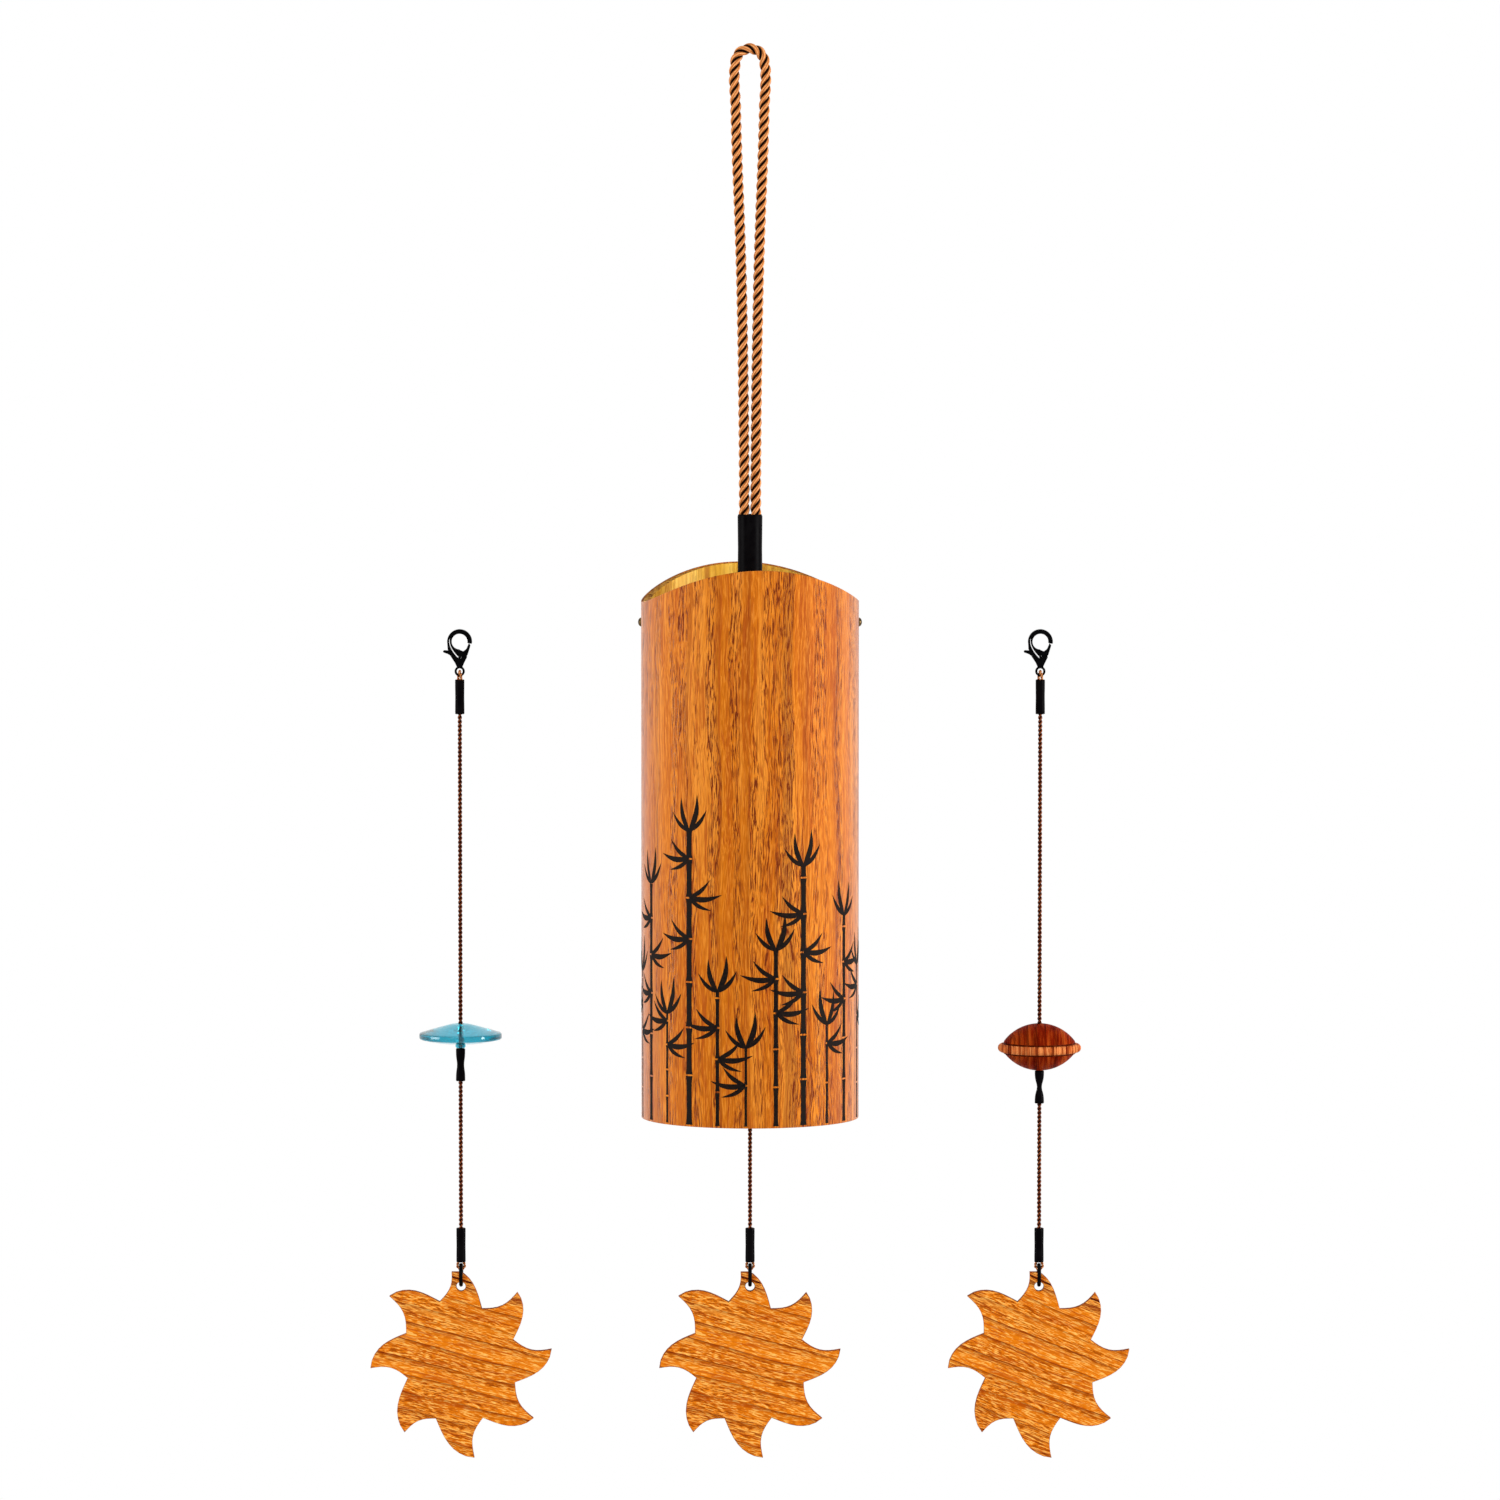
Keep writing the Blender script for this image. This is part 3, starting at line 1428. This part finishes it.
    def catcher_loop(self) -> None:
        """Builds the loop that carries the sun's ring."""
        box, foot = Box.of(self.node("catcher_loop")), Box.of(self.node("catcher_sleeve")).low.z
        reach = box.half.x - self.loop_r
        bow = arc((0.0, box.low.z + self.loop_r + reach), reach, 180, 360, 8)
        leg = [(-self.loop_leg_x, foot + self.loop_leg_rise), (-self.loop_leg_x, foot)]
        flat = leg + bow + [(-x, z) for x, z in reversed(leg)]
        route = [(self.x + x, 0.0, z) for x, z in flat]
        self.build_loop("catcher_loop", route, self.name + "_catcher", ALONG_Y)

    def build_clasp(self) -> None:
        """Builds the clasp's body, lever, rivet and spring."""
        for piece, body, rounds in (("clasp_body", self.name, 14),
                                    ("clasp_lever", self.name + "_lever", 14),
                                    ("clasp_rivet", self.name, 4)):
            node = self.node(piece)
            part = cast(copy_of(node), self.cast_grain, rounds, self.cast_share)
            if piece == "clasp_lever":
                self.draw_gate(part, Box.of(node).high.z)
            self.shop.dress(part, body, "black_metal", "black_metal", node)
        self.build_spring()

    def draw_gate(self, lever: Object, top: float) -> None:
        """Draws the tip of the lever's gate up to the hook.

        Args:
            lever: The lever.
            top: Height of the tip.
        """
        for vertex in lever.data.vertices:
            near = max(0.0, 1 - (top - vertex.co.z) / self.gate_reach)
            vertex.co += near * Vector(self.gate_draw)

    def build_spring(self) -> None:
        """Builds the bright spring strip that shows on both faces of the clasp."""
        clasp = Box.of(self.node("clasp_body")).high
        hook = Vector((self.x, 0.0, clasp.z - self.hook_r))
        line = smooth_route([(x * MM, 0.0, z * MM) for x, z in self.spring], self.spring_step)
        last, strips = len(line) - 1, []
        for side in (-1, 1):
            strip = flat_grid(2, last)
            face = Vector((0.0, side * (clasp.y + self.spring_lift), 0.0))
            for vertex in strip.data.vertices:
                t = vertex.co.y + 0.5
                i = round(t * last)
                heading = heading_at(line, i)
                taper = math.sqrt(min(1.0, 0.1 + 12 * t, 0.1 + 18 * (1 - t)))
                half = (self.spring_start + self.spring_growth * t) * MM * taper
                off = Vector((heading.z, 0.0, -heading.x)) * 2 * vertex.co.x * half
                vertex.co = hook + line[i] + off + face
            modify(strip, "SOLIDIFY", thickness=self.spring_thick, offset=0.0)
            strips.append(strip)
        spring = clean(settle(joined(strips, self.node("clasp_spring"))))
        self.shop.dress(spring, self.name, "pin_steel", "spring_steel")

    def build_sleeve(self, piece: str, body: str, waist: float) -> None:
        """Builds a shrunk sleeve.

        Args:
            piece: Which of the strand's sleeves it is.
            body: The body that it rides on.
            waist: Radius at its middle, as a share of its ends' radius.
        """
        node = self.node(piece)
        box = Box.of(node)
        low, high, r, lip = box.low.z, box.high.z, box.half.x, self.sleeve_lip
        bore, least = 1.02 * self.cord_r, 1.06 * self.cord_r
        profile = [(bore, low + 4 * lip), (bore + lip, low + 0.5 * lip), (r - lip, low),
                   (r, low + lip)]
        for t in [i / 12 for i in range(1, 12)]:
            squeeze = 1 - (1 - waist) * math.exp(-((t - 0.5) / 0.2) ** 2)
            profile.append((max(r * squeeze, least), low + (high - low) * t))
        profile += [(r, high - lip), (r - lip, high), (bore + lip, high - 0.5 * lip),
                    (bore, high - 4 * lip)]
        sleeve = shade(spun(node + "_shown", profile, ALONG_Z, (self.x, 0.0, 0.0), 32), 60.0)
        self.shop.dress(sleeve, body, "black_sleeve", "black_sleeve", node)

    def lens_profile(self, r: float, bore: float, top: float, foot: float) -> list[Flat]:
        """Draws the lens disc: a low cone, a rounded rim, and a shallow bowl and a hub below.

        Args:
            r: The disc's radius.
            bore: Radius of its hole.
            top: Height of its upper end.
            foot: Height of its lower end.

        Returns:
            The profile, closed.
        """
        edge, hub, crown = self.lens_edge, self.lens_hub, self.lens_crown
        shoulder = top - self.lens_rise
        under, inner = shoulder - self.lens_rim, hub + 0.3 * MM
        mouth = [(bore, top - 0.5 * MM), (bore + 0.15 * MM, top - 0.12 * MM),
                 (bore + 0.4 * MM, top), (crown, top)]
        cone = [(crown + (r - edge - crown) * t, top - self.lens_rise * t ** 1.12)
                for t in [i / 9 for i in range(1, 9)]]
        rim = (arc((r - edge, shoulder - edge), edge, 75, 0, 4)
               + arc((r - edge, under + edge), edge, 0, -90, 5))
        bowl = [(inner + (r - edge - inner) * t, under - self.lens_sag * (1 - t ** 2))
                for t in (0.9, 0.75, 0.6, 0.45, 0.3, 0.15, 0.04)]
        neck = [(hub, under - self.lens_sag - 0.2 * MM), (hub - 0.05 * MM, foot + 0.2 * MM),
                (hub - 0.25 * MM, foot), (bore + 0.2 * MM, foot), (bore, foot + 0.4 * MM)]
        return mouth + cone + rim + bowl + neck + mouth[:1]

    def dome(self, height: float) -> list[Flat]:
        """Draws one dome of the turned disc.

        Args:
            height: Height of its crown over the middle of the band.

        Returns:
            Points from its crown to the band.
        """
        curve = self.dome_curve
        first, last = math.asin(self.dome_crown / curve), math.asin(self.dome_r / curve)
        centre = height - curve * math.cos(first)
        angles = [first + (last - first) * i / 14 for i in range(15)]
        return [(curve * math.sin(a), centre + curve * math.cos(a)) for a in angles]

    def turned_profile(self, r: float, bore: float, top: float, foot: float) -> list[Flat]:
        """Draws the turned disc: two domes and a raised band between them.

        Args:
            r: The disc's radius.
            bore: Radius of its hole.
            top: Height of its upper end.
            foot: Height of its lower end.

        Returns:
            The profile, closed.
        """
        mid, band, dome_r = top - self.dome_rise, self.band_half, self.dome_r
        upper = [(x, mid + z) for x, z in self.dome(self.dome_rise)]
        lower = [(x, mid - z) for x, z in reversed(self.dome(mid - foot))]
        drop = upper[-1][1] - mid - band
        cove = [(dome_r + 0.04 * MM, band + 0.6 * drop), (dome_r + 0.08 * MM, band + 0.12 * drop),
                (dome_r + 0.26 * MM, band - 0.06 * MM)]
        edge = [(x, mid + z) for x, z in cove]
        edge += arc((r - 0.9 * band, mid), 0.97 * band, 78, -78, 10)
        edge += [(x, mid - z) for x, z in reversed(cove)]
        mouth = [(bore, top - 0.4 * MM), (bore + 0.25 * MM, top)]
        neck = [(bore + 0.25 * MM, foot), (bore, foot + 0.4 * MM)]
        return mouth + upper + edge + lower + neck + mouth[:1]

    def mark_band(self, disc: Object) -> None:
        """Gives the turned disc's band and the grooves beside it their own finishes.

        Args:
            disc: The turned disc.
        """
        self.shop.coat(disc, self.disc_finish, "turned_band", "turned_groove")
        for face in disc.data.polygons:
            out = math.hypot(face.center.x - self.x, face.center.y) - self.dome_r
            face.material_index = 1 if out > self.band_from else 2 if out > self.groove_from else 0

    def build_disc(self) -> None:
        """Builds the striker disc."""
        node = self.node("disc")
        box = Box.of(node)
        draw = self.lens_profile if self.disc is DiscShape.LENS else self.turned_profile
        profile = draw(box.half.x, self.cord_r + self.disc_play, box.high.z, box.low.z)
        disc = spun(node + "_shown", profile, ALONG_Z, (self.x, 0.0, 0.0), 96)
        if self.disc is DiscShape.TURNED:
            self.mark_band(disc)
        self.shop.dress(shade(disc, 40.0), node, self.disc_finish, self.disc_finish, node)

    def build_sun(self) -> None:
        """Builds the sun with its softened cut edge."""
        node = self.node("sun")
        sun = soften_rims(shade(copy_of(node), 40.0), self.sun_bevel, 40.0)
        self.shop.coat(sun, self.sun_finish, "sun_edge")
        for face in sun.data.polygons:
            face.material_index = int(abs(face.normal.y) < 0.95)
        self.shop.dress(sun, node, "sun_wood", self.sun_finish, node)

    def build(self) -> None:
        """Builds the whole strand."""
        catcher, ring = self.name + "_catcher", self.node("catcher_ring")
        self.build_clasp()
        self.clasp_loop()
        self.build_sleeve("clasp_sleeve", self.name, self.sleeve_waist)
        self.build_cord()
        self.build_disc()
        self.build_sleeve("disc_sleeve", self.name, self.waist)
        self.build_sleeve("catcher_sleeve", catcher, self.sleeve_waist)
        self.catcher_loop()
        jump_ring(self.shop, ring, ring)
        self.build_sun()


# Studio
@dataclass(frozen=True)
class Lamp:
    """One soft square lamp, with its power in watts and its size in metres."""

    name: str
    place: Point
    power: float
    size: float


@dataclass
class Studio:
    """Camera, light and pale floor."""

    distance: float = 2.4
    eye_z: float = -0.043
    aim: Point = (0.0, 0.0, -0.2008)
    view_width: float = 0.4343
    sensor: float = 36.0
    sight_end: float = 100.0
    ambient: float = 0.6
    floor_z: float = -2.7
    floor_size: float = 24.0
    floor_grey: float = 0.86
    floor_glow: float = 0.6
    lamps: tuple[Lamp, ...] = (
        Lamp("front", (-0.6, -2.2, 0.9), 13.0, 1.2),
        Lamp("left_side", (-1.9, -0.5, 0.0), 23.0, 1.0),
        Lamp("right_side", (1.9, -0.5, 0.0), 41.0, 1.0))

    def aimed(self, name: str, data: bpy.types.ID, place: Point) -> Object:
        """Places a camera or a lamp so that it faces the chime.

        Args:
            name: Its name.
            data: The camera or the lamp.
            place: Where it stands.

        Returns:
            The object.
        """
        made = placed(name, data)
        made.location = place
        sight = Vector(self.aim) - made.location
        made.rotation_euler = sight.to_track_quat("-Z", "Y").to_euler()
        return made

    def build_camera(self) -> None:
        """Places the camera at the photograph's viewing angle."""
        data = bpy.data.cameras.new("camera")
        camera = self.aimed("camera", data, (0.0, -self.distance, self.eye_z))
        reach = (Vector(self.aim) - camera.location).length
        data.sensor_width, data.clip_end = self.sensor, self.sight_end
        data.lens = self.sensor * reach / self.view_width
        bpy.context.scene.camera = camera

    def seen_directly(self, graph: Graph) -> Socket:
        """Finds the rays from the camera, from gloss and through glass.

        Args:
            graph: The graph that asks.

        Returns:
            1 for those rays and 0 for others.
        """
        path = graph.add("ShaderNodeLightPath").outputs
        either = graph.math("MAXIMUM", path["Is Camera Ray"], path["Is Glossy Ray"])
        return graph.math("MAXIMUM", either, path["Is Transmission Ray"])

    def build_world(self) -> None:
        """Makes a white surround whose light on the object stays at a plain level."""
        world = bpy.data.worlds.new("surround")
        graph = Graph.fresh(world)
        light, white = (
            graph.add("ShaderNodeBackground", {"Color": (1, 1, 1, 1), "Strength": level}).outputs[0]
            for level in (self.ambient, 1.0))
        shares = {0: self.seen_directly(graph), 1: light, 2: white}
        both = graph.add("ShaderNodeMixShader", shares).outputs[0]
        graph.add("ShaderNodeOutputWorld", {"Surface": both})
        bpy.context.scene.world = world

    def build_floor(self) -> None:
        """Lays a wide pale floor well below the chime."""
        deselect()
        bpy.ops.mesh.primitive_grid_add(x_subdivisions=8, y_subdivisions=8, size=self.floor_size,
                                        location=(0, 0, self.floor_z))
        floor = bpy.context.object
        floor.name = "floor"
        material = bpy.data.materials.new("pale_floor")
        graph = Graph.fresh(material)
        grey = opaque((self.floor_grey, self.floor_grey, self.floor_grey))
        matt = graph.add("ShaderNodeBsdfDiffuse", {"Color": grey}).outputs[0]
        glow = graph.times(self.seen_directly(graph), self.floor_glow)
        lift = graph.add("ShaderNodeEmission", {"Strength": glow}).outputs[0]
        both = graph.add("ShaderNodeAddShader", {0: matt, 1: lift}).outputs[0]
        graph.add("ShaderNodeOutputMaterial", {"Surface": both})
        floor.data.materials.append(material)

    def build_lamp(self, lamp: Lamp) -> None:
        """Places one lamp.

        Args:
            lamp: The lamp.
        """
        data = bpy.data.lights.new(lamp.name, "AREA")
        data.energy, data.size = lamp.power, lamp.size
        self.aimed(lamp.name, data, lamp.place)

    def build(self) -> None:
        """Builds the whole studio."""
        bpy.context.scene.view_settings.view_transform = "Standard"
        self.build_camera()
        self.build_world()
        self.build_floor()
        for lamp in self.lamps:
            self.build_lamp(lamp)


def main() -> None:
    """Builds the chime round the frame, in order."""
    logging.basicConfig(level=logging.INFO, format="%(name)s %(message)s")
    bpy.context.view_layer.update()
    Studio().build()
    shop = Workshop()
    HangingRope(shop).build()
    ChimeTube(shop).build()
    jump_ring(shop, "top_ring", "top_ring")
    Strand(shop, "striker", DiscShape.LENS, "clear_acrylic", "main_sun_wood", 0.8).build()
    Strand(shop, "left_spare", DiscShape.LENS, "blue_acrylic", "left_sun_wood", 0.76).build()
    Strand(shop, "right_spare", DiscShape.TURNED, "turned_wood", "right_sun_wood", 0.52).build()
    deselect()


if __name__ == "__main__":
    main()
